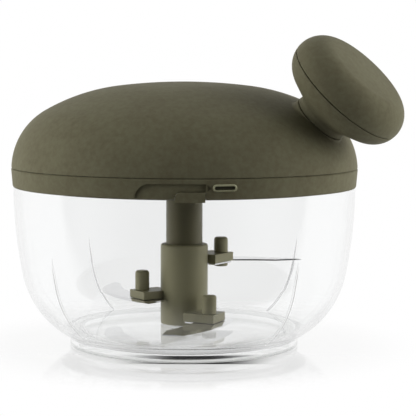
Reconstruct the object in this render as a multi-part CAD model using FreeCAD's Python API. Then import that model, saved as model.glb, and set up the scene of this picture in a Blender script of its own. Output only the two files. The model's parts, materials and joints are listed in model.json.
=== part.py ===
import FreeCAD, Part
import math
import os

from FreeCAD import Vector

# Crank food chopper. Millimetres, +Z up, origin on the bowl's axis at the plane it stands on.
# The front, with the lid's pocket, faces -Y.

# --- clearances ---
running = 0.05          # radial gap of a shaft in its bearing
apart = 0.3             # gap between pieces that pass each other
glide_gap = 0.1         # axial play of the crank on its glide ring
backlash = 0.2          # taken off each gear tooth at the pitch circle

# --- bowl ---
shoulder_radius = 74.6
shoulder_z = 70.0
side_arc = 197.5        # large arc of the bowl's side
side_turn = 11.3
base_arc = 38.7         # small arc down to the foot
base_turn = 61.7
bowl_wall = 2.4
floor_top = 8.0
floor_thickness = 2.5
foot_step = 24.9        # from the shoulder in to the foot
foot_wall = 3.4
collar_step = 1.4       # rebate that the lid ring's lower edge goes over
collar_height = 2.2
neck_step = 3.4
neck_height = 4.3
post_radius = 5.5
post_rise = 4.0         # above the floor
post_drop = 2.0         # its lower end above the foot's
rib_count = 4
rib_first = -49.5
rib_depth = 2.0
rib_width = 1.6
rib_below = 20.0        # under the shoulder

# --- foot ring ---
foot_ring_proud = 0.4
foot_ring_depth = 1.6
foot_ring_margin = 0.7

# --- centre pin ---
pin_radius = 2.5
pin_sunk = 6.0          # length held below the post's top
pin_rise = 17.0         # above the floor
pin_tip = 0.8

# --- lid ---
lid_overhang = 0.9      # past the shoulder
lid_taper = 0.6         # the ring is this much smaller at its lower edge
lid_height = 8.1
deck_step = 1.1
deck_thickness = 2.4
seal_thickness = 1.5
plug_wall = 2.0
plug_depth = 5.4
plug_lip = 0.8
plug_lip_height = 0.9
rail_wall = 1.8
rail_height = 5.0
rail_lip = 0.7
rail_lip_height = 1.2
hub_boss_radius = 13.0
hub_boss_depth = 6.0
edge_round = 0.5

# --- front pocket, release tab and marks on the lid ring ---
pocket_left = -19.7
pocket_right = 8.5
pocket_lintel = 2.0
pocket_round = 6.0
pocket_depth = 1.4
tab_length = 12.0
tab_rise = 2.8          # above the ring's lower edge
tab_hang = 1.2          # below it, outside the bowl
tab_proud = 0.2
tab_round = 2.4
mark_x = 15.9
mark_drop = 3.6         # under the ring's top
mark_length = 9.4
mark_height = 2.8
mark_rim = 0.6
mark_proud = 0.35
notch_x = 9.7
notch_size = 1.4

# --- gears ---
gear_module = 1.5
pressure_angle = 20.0
sun_teeth = 18
planet_teeth = 24
ring_teeth = sun_teeth + 2 * planet_teeth
gear_width = 6.0
gear_lift = 1.0         # gears stand this far above the deck
planet_first = 30.0
planet_count = 3
axle_radius = 2.0
axle_boss_radius = 4.5
planet_hub_radius = 6.0
planet_web = 3.0

# --- gear cover ---
cover_thickness = 2.0
cover_gap = 0.6
cover_post_radius = 4.0
cover_post_out = 2.5     # past the planets' circle
cover_screw_radius = 1.4
cover_screw_length = 7.0
cover_hole_radius = 8.0
screw_head_radius = 2.8
screw_head_height = 1.7
screw_slot = 1.6        # across the corners of the drive recess, as a radius

# --- crank dome ---
dome_set_back = 0.1
dome_lean = 1.7         # degrees from vertical at the lower edge
dome_side_arc = 29.4
dome_side_to = 60.0     # lean where the side arc ends
dome_shoulder_arc = 85.5
dome_shoulder_to = 83.0
dome_wall = 2.4
dome_boss_radius = 4.0
dome_boss_count = 4
dome_boss_first = 17.0
dome_screw_radius = 1.4
dome_screw_length = 9.0

# --- drive ring ---
ring_rim = 3.0          # behind the tooth roots
ring_web = 2.0
ring_skirt_wall = 2.25
glide_height = 1.0

# --- drive shaft ---
shaft_radius = 8.0
shaft_above_pin = 3.5
journal_radius = 6.5
bush_wall = 2.0
bush_flange = 1.6
sun_hex = 5.2           # circumscribed radius
socket_hex = 7.2
socket_play = 0.3
shaft_screw_radius = 1.8
shaft_screw_length = 10.0
shaft_washer_radius = 6.5
shaft_washer_height = 0.8
shaft_screw_head = 3.6

# --- knob ---
knob_azimuth = -28.0
knob_tilt = 45.0        # degrees from vertical
knob_out = 1.2          # disc's middle, past the dome's lower edge
knob_up = 34.2
knob_radius = 27.3
knob_rim = 10.8
knob_crown_turn = 4.0
knob_parting = -1.3     # along the axis, from the middle of the disc
knob_shell = 3.0
knob_underside = 26.5    # slope of the disc's back, degrees
neck_thin = 11.5
neck_foot = 12.2
neck_end = -17.3
seat_skirt = 1.0        # the dome's seat for the knob widens by this much
seat_skirt_height = 5.0
knob_lip = 2.5
knob_lip_wall = 1.6
knob_tube = 7.0
bolt_radius = 3.0
bolt_end = -31.0
bolt_head_radius = 5.5
bolt_head_height = 3.0
washer_radius = 6.6
washer_height = 1.0
washer_seat = -2.0

# --- knife ---
hub_radius = 10.4
hub_gap = 0.6           # above the bowl's floor
hub_height = 36.5       # above the floor
hub_round = 1.0
hub_mouth = 2.5
arm_start = 5.8         # along the arm
arm_reach = 20.3
arm_side = -12.6        # across the arm
arm_width = 11.8
arm_thickness = 3.8
arm_low_angle = -26.4
peg_from_end = 3.9
peg_from_side = 4.0
peg_radius = 3.1
peg_bevel = 0.8
peg_shank = 2.4
peg_head = 1.3
blade_thickness = 1.0
blade_bevel_width = 2.2
blade_edge = 0.25
blade_outer_arc = 63.8
blade_outer_x = -40.7
blade_outer_y = 6.4
blade_inner_arc = 71.4
blade_inner_x = -61.8
blade_inner_y = 11.9
pad_inset = 0.6
low_arm_rise = 7.25     # the arm's top above the floor
mid_arm_rise = 16.25
top_arm_rise = 31.7
low_blade_short = 31.6  # the blade's end, in from the shoulder
mid_blade_short = 14.1
top_blade_short = 15.6
low_peg = 8.6
mid_peg = 8.6
top_peg = 6.8

# --- sizes that follow from the ones above ---
foot_radius = shoulder_radius - foot_step
collar_radius = shoulder_radius - collar_step
collar_top = shoulder_z + collar_height
neck_radius = shoulder_radius - neck_step
neck_top = shoulder_z + neck_height
neck_inner = neck_radius - bowl_wall
hollow_top = collar_top - bowl_wall
post_top = floor_top + post_rise
post_bottom = foot_ring_proud + post_drop
rib_high = shoulder_z - rib_below
pin_top = floor_top + pin_rise
lid_radius = shoulder_radius + lid_overhang
lid_top = shoulder_z + lid_height
deck_top = lid_top - deck_step
deck_bottom = deck_top - deck_thickness
plug_radius = neck_inner - apart - seal_thickness
skirt_inner = neck_radius + apart
ring_skirt_radius = skirt_inner - apart
rail_lip_radius = ring_skirt_radius - ring_skirt_wall - running
rail_radius = rail_lip_radius - rail_lip
pocket_top = lid_top - pocket_lintel
mark_z = lid_top - mark_drop
glide_top = deck_top + glide_height
ring_bottom = glide_top + glide_gap
rail_top = deck_top + rail_height
gear_bottom = deck_top + gear_lift
gear_top = gear_bottom + gear_width
web_bottom = rail_top + 2 * apart
web_top = web_bottom + ring_web
cover_bottom = gear_top + cover_gap
cover_top = cover_bottom + cover_thickness
sun_pitch = gear_module * sun_teeth / 2
planet_pitch = gear_module * planet_teeth / 2
ring_pitch = gear_module * ring_teeth / 2
ring_rim_radius = ring_pitch + 1.25 * gear_module + ring_rim
planet_circle = sun_pitch + planet_pitch
cover_post_circle = planet_circle + cover_post_out
dome_radius = lid_radius - dome_set_back
dome_bottom = lid_top + apart
dome_boss_circle = (ring_rim_radius + rail_radius - rail_wall) / 2
knob_circle = dome_radius + knob_out
knob_z = dome_bottom + knob_up
planet_angles = [planet_first + 360.0 / planet_count * i for i in range(planet_count)]
cover_post_angles = [angle + 180.0 / planet_count for angle in planet_angles]
dome_boss_angles = [dome_boss_first + 360.0 / dome_boss_count * i for i in range(dome_boss_count)]
peg_along = arm_reach - peg_from_end
peg_across = arm_side + peg_from_side
hub_bottom = floor_top + hub_gap
hub_top = floor_top + hub_height
bearing_top = pin_top + apart
shaft_bottom = pin_top + shaft_above_pin
bush_bottom = deck_bottom - hub_boss_depth
bush_top = gear_bottom - glide_gap
bush_outer = journal_radius + bush_wall
tab_right = pocket_right - apart
tab_left = tab_right - tab_length
tab_outer = lid_radius + tab_proud
tab_inner = collar_radius + apart
tab_top = shoulder_z + tab_rise
knob_inner = knob_radius - (knob_rim + knob_shell) / 2

# for each level of the knife: the arm's top, how far arm and blade are turned, the azimuth and
# radius where the blade ends, and the peg's height
levels = {
    "low": dict(top=floor_top + low_arm_rise, arm_turn=0.0, blade_turn=0.0, ends_at=-102.0,
                reach=shoulder_radius - low_blade_short, peg=low_peg),
    "mid": dict(top=floor_top + mid_arm_rise, arm_turn=-120.0, blade_turn=-120.0, ends_at=-117.0,
                reach=shoulder_radius - mid_blade_short, peg=mid_peg),
    "top": dict(top=floor_top + top_arm_rise, arm_turn=82.0, blade_turn=128.0, ends_at=-109.0,
                reach=shoulder_radius - top_blade_short, peg=top_peg),
}
blade_outer_centre = Vector(blade_outer_x, blade_outer_y, 0)
blade_inner_centre = Vector(blade_inner_x, blade_inner_y, 0)

os.makedirs("parts", exist_ok=True)


def polar(radius, degrees, z=0.0):
    angle = math.radians(degrees)
    return Vector(radius * math.cos(angle), radius * math.sin(angle), z)


def save(node, solids):
    """Write one node; several solids go out as one compound."""
    shape = solids if isinstance(solids, Part.Shape) else Part.makeCompound(solids)
    shape.exportStep("parts/%s.step" % node)
    print(node, len(shape.Solids), "valid" if shape.isValid() else "NOT VALID", round(shape.Volume, 1))


def cylinder(radius, bottom, top, centre=Vector(0, 0, 0)):
    return Part.makeCylinder(radius, top - bottom, Vector(centre.x, centre.y, bottom))


def tube(outer, inner, bottom, top, centre=Vector(0, 0, 0)):
    return cylinder(outer, bottom, top, centre).cut(cylinder(inner, bottom, top, centre))


def hexagon(radius, bottom, top):
    corners = [polar(radius, 60 * i, bottom) for i in range(7)]
    return Part.Face(Part.makePolygon(corners)).extrude(Vector(0, 0, top - bottom))


def revolve(edges):
    """Spin a closed outline in the XZ plane about Z."""
    face = Part.Face(Part.Wire(Part.__sortEdges__(edges)))
    solid = face.revolve(Vector(0, 0, 0), Vector(0, 0, 1), 360)
    return Part.Solid(solid) if solid.ShapeType == "Shell" else solid


def lines(*points):
    """Straight edges through (radius, z) points."""
    corners = [Vector(radius, 0, z) for radius, z in points]
    return [Part.makeLine(a, b) for a, b in zip(corners, corners[1:])]


def arc(start, lean_from, lean_to, radius, upwards=1):
    """Arc that leaves start leaning lean_from from vertical towards the axis."""
    first, last = math.radians(lean_from), math.radians(lean_to)
    middle = (first + last) / 2

    def at(lean):
        radial = start[0] - radius * (math.cos(first) - math.cos(lean))
        height = start[1] + upwards * radius * (math.sin(lean) - math.sin(first))
        return radial, height

    through = [Vector(r, 0, z) for r, z in (at(first), at(middle), at(last))]
    return Part.Arc(*through).toShape(), at(last)


def profile_solid(arcs, start, lean, inset, upwards, closing):
    """Solid of revolution under a chain of tangent arcs, moved inwards by inset."""
    angle = math.radians(lean)
    point = (start[0] - inset * math.cos(angle), start[1] - upwards * inset * math.sin(angle))
    first = point
    edges = []
    for radius, lean_to in arcs:
        edge, point = arc(point, lean, lean_to, radius - inset, upwards)
        edges.append(edge)
        lean = lean_to
    return revolve(edges + lines(point, *closing(first, point), first))


# --- bowl ---

bowl_arcs = [(side_arc, side_turn), (base_arc, side_turn + base_turn)]


def bowl_solid(inset, floor):
    """Filled bowl between floor and shoulder: its outer form, or its hollow when inset."""
    filled = profile_solid(
        bowl_arcs, (shoulder_radius, shoulder_z), 0.0, inset, -1,
        lambda first, last: [(0, last[1]), (0, first[1])])
    return filled.common(cylinder(2 * shoulder_radius, floor, shoulder_z))


def side_radius(z):
    """Outer radius of the bowl's side arc at height z."""
    drop = shoulder_z - z
    return shoulder_radius - side_arc + math.sqrt(side_arc ** 2 - drop ** 2)


def rib_core():
    """What the ribs stay clear of: the hollow less their depth, widening to the wall at their top."""
    taper_z = shoulder_z - side_arc * math.sin(math.radians(side_turn))
    cone = Part.makeCone(side_radius(taper_z) - bowl_wall - rib_depth, side_radius(rib_high) - bowl_wall,
                         rib_high - taper_z, Vector(0, 0, taper_z))
    return bowl_solid(bowl_wall + rib_depth, floor_top).fuse(cone)


def make_ribs():
    """Thin upright fins on the inside of the wall."""
    space = bowl_solid(bowl_wall / 2, floor_top).cut(rib_core())
    ribs = []
    for i in range(rib_count):
        fin = Part.makeBox(shoulder_radius, rib_width, rib_high - floor_top,
                           Vector(0, -rib_width / 2, floor_top))
        fin.rotate(Vector(0, 0, 0), Vector(0, 0, 1), rib_first + 360.0 / rib_count * i)
        ribs.append(fin.common(space))
    return ribs


def make_foot_ring():
    outer = foot_radius - foot_ring_margin
    inner = foot_radius - foot_wall + foot_ring_margin
    return tube(outer, inner, 0, foot_ring_depth)


def make_bowl():
    body = bowl_solid(0.0, foot_ring_proud)
    body = body.fuse(cylinder(foot_radius, foot_ring_proud, floor_top))
    body = body.fuse(cylinder(collar_radius, shoulder_z, collar_top))
    body = body.fuse(cylinder(neck_radius, shoulder_z, neck_top))
    below_ledge = cylinder(2 * shoulder_radius, floor_top, hollow_top)
    body = body.cut(bowl_solid(bowl_wall, floor_top).common(below_ledge))
    body = body.cut(cylinder(neck_inner, hollow_top, neck_top))
    body = body.cut(cylinder(foot_radius - foot_wall, 0, floor_top - floor_thickness))
    body = body.fuse(cylinder(post_radius, post_bottom, post_top))
    body = body.cut(cylinder(pin_radius, post_top - pin_sunk, post_top))
    body = body.cut(make_foot_ring())
    for rib in make_ribs():
        body = body.fuse(rib)
    return body.removeSplitter()


def make_centre_pin():
    straight = cylinder(pin_radius, post_top - pin_sunk, pin_top - pin_tip)
    tip = Part.makeCone(pin_radius, pin_radius - pin_tip, pin_tip, Vector(0, 0, pin_top - pin_tip))
    return straight.fuse(tip).removeSplitter()


# --- lid ---

def lid_ring():
    """Outer ring of the lid, a little smaller at its lower edge, which goes over the bowl's collar."""
    lower = lid_radius - lid_taper
    rounded = edge_round
    return revolve(lines(
        (tab_inner, shoulder_z), (lower - rounded, shoulder_z), (lower, shoulder_z + rounded),
        (lid_radius, lid_top - rounded), (lid_radius - rounded, lid_top), (skirt_inner, lid_top),
        (skirt_inner, collar_top + apart), (tab_inner, collar_top + apart), (tab_inner, shoulder_z)))


def plug():
    """Wall that goes into the bowl's neck and carries the seal."""
    inner = plug_radius - plug_wall
    bottom = deck_bottom - plug_depth
    wall = tube(plug_radius, inner, bottom, deck_bottom)
    return wall.fuse(tube(plug_radius + plug_lip, inner, bottom, bottom + plug_lip_height))


def rail():
    """Upright rail with an outward lip that the drive ring hooks under."""
    inner = rail_radius - rail_wall
    wall = tube(rail_radius, inner, deck_top, rail_top)
    return wall.fuse(tube(rail_lip_radius, inner, rail_top - rail_lip_height, rail_top))


def front_box(left, right, bottom, top, corner_round):
    """Box that reaches out through the ring's front, rounded at its upper left."""
    depth = 2 * lid_radius
    block = Part.makeBox(right - left, depth, top - bottom, Vector(left, -depth, bottom))
    corner = [edge for edge in block.Edges
              if edge.BoundBox.XMax < left + 1e-6 and edge.BoundBox.ZMin > top - 1e-6]
    return block.makeFillet(corner_round, corner)


def pocket():
    """Finger recess in the ring's front, with a deeper slot that the tab stands in."""
    recess = front_box(pocket_left, pocket_right, shoulder_z, pocket_top, pocket_round)
    recess = recess.cut(cylinder(lid_radius - pocket_depth, shoulder_z, pocket_top))
    slot = front_box(tab_left - apart, pocket_right, shoulder_z, tab_top + apart, tab_round + apart)
    return recess.fuse(slot.cut(cylinder(tab_inner - apart, shoulder_z, tab_top + apart)))


def stadium(length, height, inner_radius, outer_radius):
    """Upright slot shape on the ring's front, between two radii."""
    half = (length - height) / 2
    shape = Part.makeBox(2 * half, outer_radius, height,
                         Vector(mark_x - half, -outer_radius, mark_z - height / 2))
    for x in (mark_x - half, mark_x + half):
        end = Part.makeCylinder(height / 2, outer_radius, Vector(x, 0, mark_z), Vector(0, -1, 0))
        shape = shape.fuse(end)
    band = tube(outer_radius, inner_radius, mark_z - height, mark_z + height)
    return shape.removeSplitter().common(band)


def mark():
    """Raised stadium outline beside the pocket."""
    outer = stadium(mark_length, mark_height, skirt_inner + 1.0, lid_radius + mark_proud)
    inner = stadium(mark_length - 2 * mark_rim, mark_height - 2 * mark_rim, 0.5 * lid_radius,
                    lid_radius + 2 * mark_proud)
    return outer.cut(inner)


def notch():
    """Small arrow-shaped dent between the pocket and the mark."""
    points = [Vector(notch_x - notch_size / 2, 0, mark_z - notch_size),
              Vector(notch_x + notch_size / 2, 0, mark_z),
              Vector(notch_x - notch_size / 2, 0, mark_z + notch_size),
              Vector(notch_x - notch_size / 2, 0, mark_z - notch_size)]
    prism = Part.Face(Part.makePolygon(points)).extrude(Vector(0, -2 * lid_radius, 0))
    return prism.cut(cylinder(lid_radius - notch_size / 2, shoulder_z, lid_top))


def make_release_tab():
    """Tongue with a rounded free end and a hanging lip, which flexes outwards about its right end."""
    block = front_box(tab_left, tab_right, shoulder_z - tab_hang, tab_top, tab_round)
    behind_lip = tube(shoulder_radius + apart, tab_inner, shoulder_z - tab_hang, shoulder_z + apart)
    return block.common(tube(tab_outer, tab_inner, shoulder_z - tab_hang, tab_top)).cut(behind_lip)


def make_lid_body():
    body = lid_ring()
    body = body.fuse(cylinder(skirt_inner + 0.5, deck_bottom, deck_top))
    body = body.fuse(plug()).fuse(rail())
    body = body.fuse(cylinder(hub_boss_radius, bush_bottom, deck_top))
    body = body.cut(pocket())
    body = body.fuse(mark()).cut(notch())
    for angle in planet_angles:
        centre = polar(planet_circle, angle)
        body = body.fuse(cylinder(axle_boss_radius, deck_top, bush_top, centre))
        body = body.cut(cylinder(axle_radius, deck_bottom, bush_top, centre))
    for angle in cover_post_angles:
        centre = polar(cover_post_circle, angle)
        body = body.fuse(cylinder(cover_post_radius, deck_top, cover_bottom, centre))
        body = body.cut(cylinder(cover_screw_radius, cover_top - cover_screw_length, cover_bottom, centre))
    body = body.cut(cylinder(bush_outer, bush_bottom, deck_top))
    return body.removeSplitter()


def make_lid_seal():
    """Seal between the plug and the neck, with a thin upper lip."""
    bottom = deck_bottom - plug_depth + plug_lip_height
    outer = neck_inner - apart
    return tube(outer, plug_radius, bottom, deck_bottom - apart)


def make_shaft_bush():
    bush = cylinder(bush_outer, bush_bottom, deck_top)
    bush = bush.fuse(cylinder(bush_outer + bush_flange, deck_top, bush_top))
    return bush.cut(cylinder(journal_radius + running, bush_bottom, bush_top)).removeSplitter()


def make_glide_ring():
    return tube(ring_skirt_radius, rail_lip_radius + apart, deck_top, glide_top)


def screw(centre, seat, length, radius, head_radius, direction=1):
    """Pan-head screw with a cross recess; the head is on the side that direction points to."""
    head = cylinder(head_radius, 0, screw_head_height)
    head = head.makeFillet(screw_head_height / 3, [head.Edges[0]])
    recess = Part.makeBox(2 * screw_slot, screw_slot / 2, screw_head_height,
                          Vector(-screw_slot, -screw_slot / 4, screw_head_height / 2))
    other = recess.copy()
    other.rotate(Vector(0, 0, 0), Vector(0, 0, 1), 90)
    body = head.cut(recess).cut(other).fuse(cylinder(radius, -length, 0))
    if direction < 0:
        body.rotate(Vector(0, 0, 0), Vector(1, 0, 0), 180)
    body.translate(Vector(centre.x, centre.y, seat))
    return body


# --- gears ---

def involute(base, radius):
    """Angle, in radians, that an involute has turned through at radius."""
    roll = math.sqrt(max((radius / base) ** 2 - 1, 0))
    return roll - math.atan(roll)


def gear_outline(teeth, tip, root, half_at_pitch, inward, phase):
    """Closed outline of a gear whose first tooth, or gap when inward, is centred on phase."""
    pitch = gear_module * teeth / 2
    base = pitch * math.cos(math.radians(pressure_angle))
    inner, outer = (tip, root) if inward else (root, tip)
    low = max(inner, base)
    steps = 4
    radii = [low + (outer - low) * i / steps for i in range(steps + 1)]
    halves = [half_at_pitch + involute(base, pitch) - involute(base, radius) for radius in radii]
    if inner < base:
        radii.insert(0, inner)
        halves.insert(0, halves[0])
    points = []
    for tooth in range(teeth):
        centre = math.radians(phase + 360.0 / teeth * tooth)
        rising = [(radius, centre - half) for radius, half in zip(radii, halves)]
        falling = [(radius, centre + half) for radius, half in zip(radii, halves)]
        for radius, angle in rising + falling[::-1]:
            points.append(Vector(radius * math.cos(angle), radius * math.sin(angle), 0))
    points.append(points[0])
    return Part.Face(Part.makePolygon(points))


def external_gear(teeth, phase, bottom, top):
    pitch = gear_module * teeth / 2
    half = (math.pi * gear_module / 2 - backlash) / (2 * pitch)
    face = gear_outline(teeth, pitch + gear_module, pitch - 1.25 * gear_module, half, False, phase)
    face.translate(Vector(0, 0, bottom))
    return face.extrude(Vector(0, 0, top - bottom))


def internal_hollow(phase, bottom, top):
    """Space inside the ring gear's teeth, with a gap centred on phase."""
    half = (math.pi * gear_module / 2 + backlash) / (2 * ring_pitch)
    root = ring_pitch + 1.25 * gear_module
    face = gear_outline(ring_teeth, ring_pitch - gear_module, root, half, True, phase)
    face.translate(Vector(0, 0, bottom))
    return face.extrude(Vector(0, 0, top - bottom))


def planet_phase(angle):
    """Direction of a planet tooth, so that a gap faces the sun's tooth at 0 degrees."""
    offset = angle % (360.0 / sun_teeth)
    return angle + 180 + offset * sun_teeth / planet_teeth + 180.0 / planet_teeth


def ring_phase():
    """Direction of a gap of the ring gear that a tooth of the first planet fills."""
    angle = planet_angles[0]
    pitch_angle = 360.0 / planet_teeth
    offset = (planet_phase(angle) - angle) % pitch_angle
    return angle + offset * planet_teeth / ring_teeth


def make_planet(angle):
    gear = external_gear(planet_teeth, planet_phase(angle), gear_bottom, gear_top)
    root = planet_pitch - 1.25 * gear_module
    depth = (gear_width - planet_web) / 2
    groove = tube(root - 2 * gear_module, planet_hub_radius, gear_bottom, gear_bottom + depth)
    gear = gear.cut(groove)
    groove.translate(Vector(0, 0, gear_width - depth))
    gear = gear.cut(groove).cut(cylinder(axle_radius + running, gear_bottom, gear_top))
    gear.translate(polar(planet_circle, angle))
    return gear


def make_gear_cover():
    """Plate that holds the axles' upper ends."""
    cover = cylinder(cover_post_circle + cover_post_radius, cover_bottom, cover_top)
    cover = cover.cut(cylinder(cover_hole_radius, cover_bottom, cover_top))
    for angle in planet_angles:
        cover = cover.cut(cylinder(axle_radius, cover_bottom, cover_top, polar(planet_circle, angle)))
    for angle in cover_post_angles:
        centre = polar(cover_post_circle, angle)
        cover = cover.cut(cylinder(cover_screw_radius, cover_bottom, cover_top, centre))
    return cover


def make_sun_gear():
    gear = external_gear(sun_teeth, 0.0, gear_bottom, gear_top)
    return gear.cut(hexagon(sun_hex, gear_bottom, gear_top))


# --- crank ---

dome_arcs = [(dome_side_arc, dome_side_to), (dome_shoulder_arc, dome_shoulder_to)]


def dome_solid(inset):
    """Filled dome: its outer form, or its hollow when inset."""
    start, lean = (dome_radius, dome_bottom), dome_lean
    for radius, lean_to in dome_arcs:
        end, lean = arc(start, lean, lean_to, radius)[1], lean_to
        start = end
    crown_arc = start[0] / math.cos(math.radians(lean))
    return profile_solid(
        dome_arcs + [(crown_arc, 90.0)], (dome_radius, dome_bottom), dome_lean, inset, 1,
        lambda first, last: [(0, first[1])])


knob_centre = polar(knob_circle, knob_azimuth, knob_z)


def on_knob_axis(shape):
    """Move a shape made about Z, with the disc's middle at 0, onto the knob's axis."""
    shape.rotate(Vector(0, 0, 0), Vector(0, 1, 0), knob_tilt)
    shape.rotate(Vector(0, 0, 0), Vector(0, 0, 1), knob_azimuth)
    shape.translate(knob_centre)
    return shape


def make_crank_dome():
    outer = dome_solid(0.0)
    hollow = dome_solid(dome_wall)
    seat = neck_end - apart
    skirt = on_knob_axis(Part.makeCone(neck_foot + seat_skirt, neck_foot, seat_skirt_height,
                                       Vector(0, 0, seat - seat_skirt_height)))
    above = on_knob_axis(cylinder(2 * neck_foot, seat, seat + 2 * neck_foot))
    outer = outer.fuse(skirt).cut(above)
    body = outer.cut(hollow)
    inner_boss = on_knob_axis(cylinder(bolt_radius + dome_wall, bolt_end - dome_wall, seat))
    body = body.fuse(inner_boss)
    for angle in dome_boss_angles:
        centre = polar(dome_boss_circle, angle)
        post = cylinder(dome_boss_radius, web_top, knob_z, centre).common(dome_solid(dome_wall / 2))
        body = body.fuse(post)
        body = body.cut(cylinder(dome_screw_radius, web_top, web_bottom + dome_screw_length, centre))
    body = body.cut(on_knob_axis(cylinder(bolt_radius, bolt_end, seat)))
    return body.removeSplitter()


def make_drive_ring():
    """Internal gear, the web over the rail and the skirt that hooks under the rail's lip."""
    ring = cylinder(ring_rim_radius, gear_bottom, web_top)
    ring = ring.fuse(cylinder(ring_skirt_radius, web_bottom, web_top))
    ring = ring.fuse(tube(ring_skirt_radius, rail_lip_radius + running, ring_bottom, web_bottom))
    hook_top = rail_top - rail_lip_height - apart
    hook = tube(rail_lip_radius + 2 * running, rail_radius + apart, ring_bottom, hook_top)
    ring = ring.fuse(hook)
    ring = ring.cut(internal_hollow(ring_phase(), gear_bottom, web_top))
    for angle in dome_boss_angles:
        ring = ring.cut(cylinder(dome_screw_radius, web_bottom, web_top, polar(dome_boss_circle, angle)))
    return ring.removeSplitter()


# --- drive shaft ---

def make_drive_shaft():
    body = cylinder(shaft_radius, hub_top - hub_mouth + apart, bush_bottom - apart)
    body = body.fuse(hexagon(socket_hex, shaft_bottom, hub_top))
    body = body.fuse(cylinder(journal_radius, hub_top, gear_bottom))
    body = body.fuse(hexagon(sun_hex, gear_bottom, gear_top))
    screw_tip = gear_top + shaft_washer_height - shaft_screw_length
    return body.cut(cylinder(shaft_screw_radius, screw_tip, gear_top)).removeSplitter()


# --- knob ---

def knob_rim_point(lean):
    """Point on the disc's rim, lean degrees up from its middle plane."""
    angle = math.radians(lean)
    return (knob_radius - knob_rim + knob_rim * math.cos(angle), knob_rim * math.sin(angle))


def three_point(a, b, c):
    return Part.Arc(*[Vector(radius, 0, z) for radius, z in (a, b, c)]).toShape()


def knob_solid():
    """Outer form of the knob with its neck, made about Z."""
    turn = math.radians(knob_crown_turn)
    crown_arc = (knob_radius - knob_rim) / math.sin(turn) + knob_rim
    top = knob_rim_point(90 - knob_crown_turn)
    crown = top[1] + crown_arc * (1 - math.cos(turn))
    middle = (crown_arc * math.sin(turn / 2), crown - crown_arc * (1 - math.cos(turn / 2)))
    under = knob_rim_point(knob_underside - 90)
    neck_start = under[1] - (under[0] - neck_thin) * math.tan(math.radians(knob_underside))
    edges = [three_point((0, crown), middle, top), three_point(top, knob_rim_point(0), under)]
    edges += lines(under, (neck_thin, neck_start), (neck_foot, neck_end), (0, neck_end), (0, crown))
    return revolve(edges)


def make_knob_body():
    body = knob_solid().common(cylinder(2 * knob_radius, neck_end, knob_parting))
    body = body.cut(tube(knob_inner, knob_tube, knob_shell - knob_rim, knob_parting))
    body = body.cut(cylinder(knob_tube, washer_seat - apart, knob_parting))
    body = body.cut(cylinder(bolt_radius + running, neck_end, washer_seat))
    return on_knob_axis(body)


def make_knob_cap():
    cap = knob_solid().common(cylinder(2 * knob_radius, knob_parting, 2 * knob_rim))
    lip_outer = knob_inner - apart
    lip_inner = lip_outer - knob_lip_wall
    hollow = cylinder(lip_inner, knob_parting, knob_rim - knob_shell)
    lip = tube(lip_outer, lip_inner, knob_parting - knob_lip, knob_parting + knob_lip)
    return on_knob_axis(cap.cut(hollow).fuse(lip).removeSplitter())


def make_knob_bolt():
    head_seat = washer_seat + washer_height
    bolt = cylinder(bolt_radius, bolt_end, head_seat)
    head = cylinder(bolt_head_radius, head_seat, head_seat + bolt_head_height)
    recess = hexagon(bolt_head_radius / 2, head_seat + bolt_head_height / 2, head_seat + bolt_head_height)
    return on_knob_axis(bolt.fuse(head).cut(recess).removeSplitter())


def make_knob_washer():
    return on_knob_axis(tube(washer_radius, bolt_radius, washer_seat, washer_seat + washer_height))


# --- knife ---

def rectangle(left, right, near, far, z):
    corners = [Vector(left, near, z), Vector(right, near, z), Vector(right, far, z), Vector(left, far, z),
               Vector(left, near, z)]
    return Part.Face(Part.makePolygon(corners))


def turned(shape, angle):
    shape.rotate(Vector(0, 0, 0), Vector(0, 0, 1), angle)
    return shape


def arm(level):
    bottom = level["top"] - arm_thickness
    face = rectangle(arm_start, arm_reach, arm_side, arm_side + arm_width, bottom)
    block = face.extrude(Vector(0, 0, arm_thickness))
    root = rectangle(0, arm_start, arm_side / 2, arm_side + arm_width, bottom)
    block = block.fuse(root.extrude(Vector(0, 0, arm_thickness)))
    return turned(block, arm_low_angle + level["arm_turn"])


def peg_centre(level):
    centre = Vector(peg_along, peg_across, 0)
    return turned(Part.Vertex(centre), arm_low_angle + level["arm_turn"]).Point


def make_knife_hub():
    hub = cylinder(hub_radius, hub_bottom, hub_top)
    hub = hub.makeFillet(hub_round, [edge for edge in hub.Edges if edge.BoundBox.ZMin > hub_top - 0.01])
    for level in levels.values():
        hub = hub.fuse(arm(level))
    for level in levels.values():
        hub = hub.cut(cylinder(peg_shank, level["top"] - arm_thickness, level["top"], peg_centre(level)))
    hub = hub.cut(cylinder(post_radius + apart, hub_bottom, post_top + apart))
    hub = hub.cut(cylinder(pin_radius + running, post_top, bearing_top))
    hub = hub.cut(hexagon(socket_hex + socket_play, shaft_bottom - apart, hub_top))
    hub = hub.cut(cylinder(shaft_radius + apart, hub_top - hub_mouth, hub_top))
    return hub.removeSplitter()


def make_peg(level):
    """Peg that stands on the arm, goes through arm and blade and ends in a head below."""
    centre = peg_centre(level)
    top = level["top"]
    blade_bottom = top - arm_thickness - blade_thickness
    end = top + level["peg"]
    upper = cylinder(peg_radius, top, end, centre)
    upper = upper.makeChamfer(peg_bevel, [edge for edge in upper.Edges if edge.BoundBox.ZMin > end - 0.01])
    shank = cylinder(peg_shank, blade_bottom, top, centre)
    end = blade_bottom - peg_head
    head = cylinder(peg_radius, end, blade_bottom, centre)
    head = head.makeFillet(peg_head / 2, [edge for edge in head.Edges if edge.BoundBox.ZMax < end + 0.01])
    return upper.fuse(shank).fuse(head).removeSplitter()


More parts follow.
